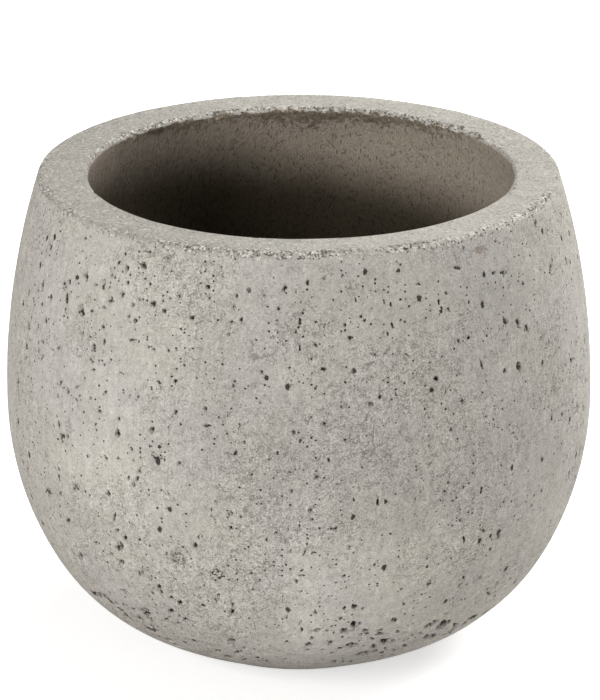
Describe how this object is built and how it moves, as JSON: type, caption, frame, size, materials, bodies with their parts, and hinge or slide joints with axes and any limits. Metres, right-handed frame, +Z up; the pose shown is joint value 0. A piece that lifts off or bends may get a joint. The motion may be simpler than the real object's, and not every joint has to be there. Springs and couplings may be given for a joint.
{
  "type": "concrete bowl planter",
  "caption": "Round cast concrete bowl planter with thick walls, a ground flat rim, a drain hole with a removable rubber plug, and rubber floor pads.",
  "frame": {"origin": "on the floor, under the middle of the bowl: the centre of the circle through the four pads", "axes": "+Z up along the bowl's axis, -Y towards the viewer of the picture, +X to the viewer's right"},
  "size_m": [0.36, 0.36, 0.3],
  "materials": {
    "cast_concrete": "raw cast concrete: matt, with air voids and pores, rim ground flat with the sand showing",
    "plug_rubber": "moulded black rubber, matt",
    "pad_rubber": "die-cut dark rubber, matt"
  },
  "bodies": {
    "planter": {"planter_bowl": "cast_concrete", "floor_pad_1": "pad_rubber", "floor_pad_2": "pad_rubber", "floor_pad_3": "pad_rubber", "floor_pad_4": "pad_rubber"},
    "plug": {"drain_plug": "plug_rubber"}
  },
  "joints": [
    {"name": "drain_plug_lift", "type": "slide", "parent": "planter", "child": "plug", "axis": [0, 0, 1], "range_m": [0, 0.33]}
  ]
}
